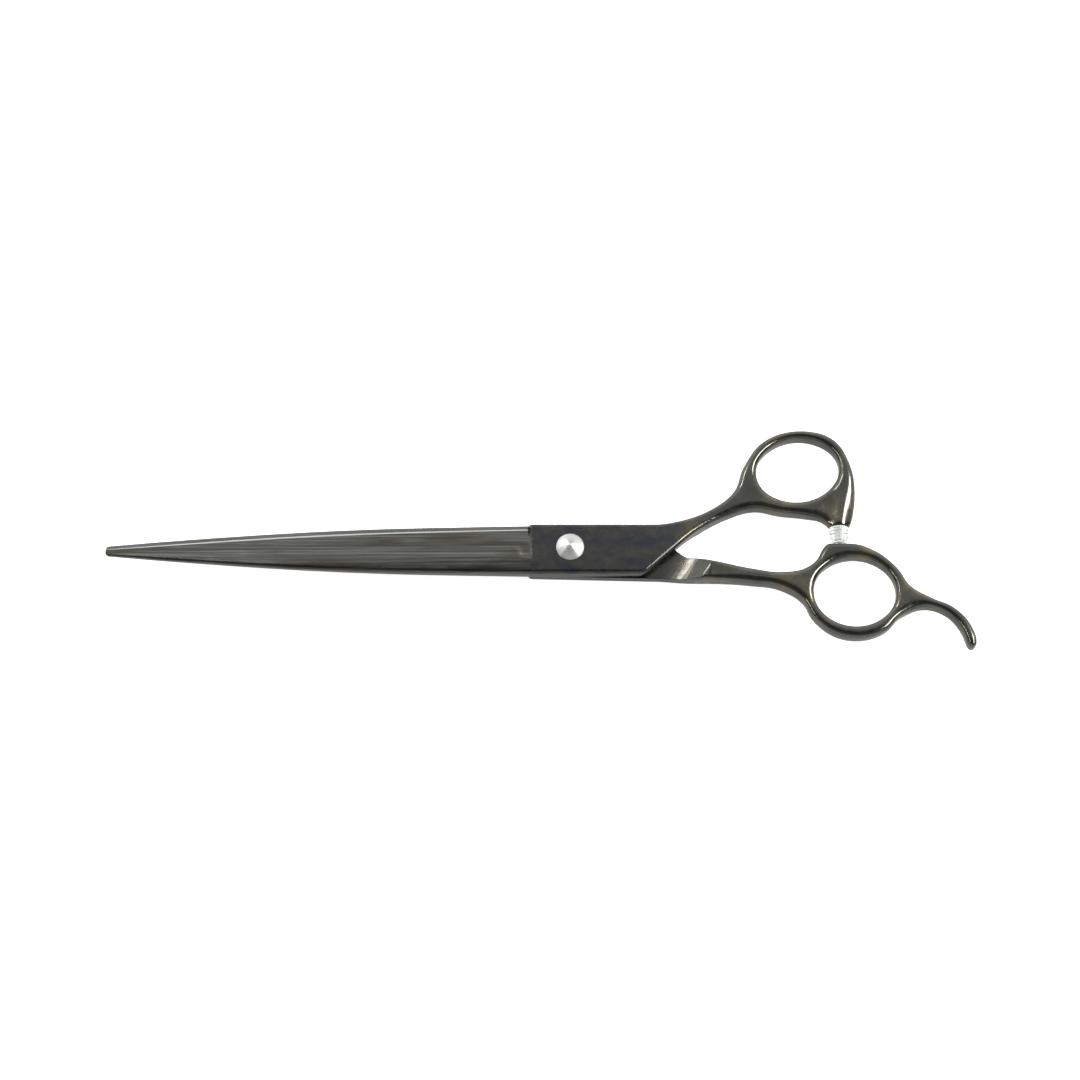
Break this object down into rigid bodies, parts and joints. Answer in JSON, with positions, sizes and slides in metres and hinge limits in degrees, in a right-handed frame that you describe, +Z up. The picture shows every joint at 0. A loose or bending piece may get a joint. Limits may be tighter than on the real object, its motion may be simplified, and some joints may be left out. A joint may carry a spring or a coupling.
{
  "type": "hair cutting shears",
  "caption": "Long-bladed hair cutting shears, closed: two blades on a domed pivot with a tension dial behind, offset finger rings, a clear bumper and a finger rest.",
  "frame": {"origin": "on the pivot axis, in the flat back face of the tension dial that the shears rest on", "axes": "+X from the blade tips towards the finger rest, +Y across towards the thumb ring, +Z up out of the front face with the domed pivot head"},
  "size_m": [0.2476, 0.0663, 0.0113],
  "materials": {
    "coated_steel": "dark coated, satin to polished",
    "bright_steel": "satin",
    "dial_steel": "satin",
    "spring_steel": "plain",
    "bronze": "plain bearing",
    "nylon": "plain",
    "clear_soft_plastic": "clear, soft"
  },
  "bodies": {
    "finger_half": {"finger_blade": "coated_steel", "finger_handle": "coated_steel", "pivot_bushing": "bronze", "glide_washer": "nylon", "spring_washer": "spring_steel", "thrust_washer": "spring_steel"},
    "thumb_half": {"thumb_blade": "coated_steel", "thumb_handle": "coated_steel", "pivot_stud": "bright_steel", "bumper": "clear_soft_plastic", "bumper_stud": "bright_steel"},
    "dial": {"tension_dial": "dial_steel", "dial_lock_ring": "nylon"}
  },
  "joints": [
    {"name": "pivot", "type": "hinge", "parent": "finger_half", "child": "thumb_half", "pos_m": [0, 0, 0.0052], "axis": [0, 0, 1], "range_deg": [0, 90]},
    {"name": "dial_turn", "type": "hinge", "parent": "thumb_half", "child": "dial", "pos_m": [0, 0, 0.001], "axis": [0, 0, 1], "range_deg": [-90, 90]}
  ]
}
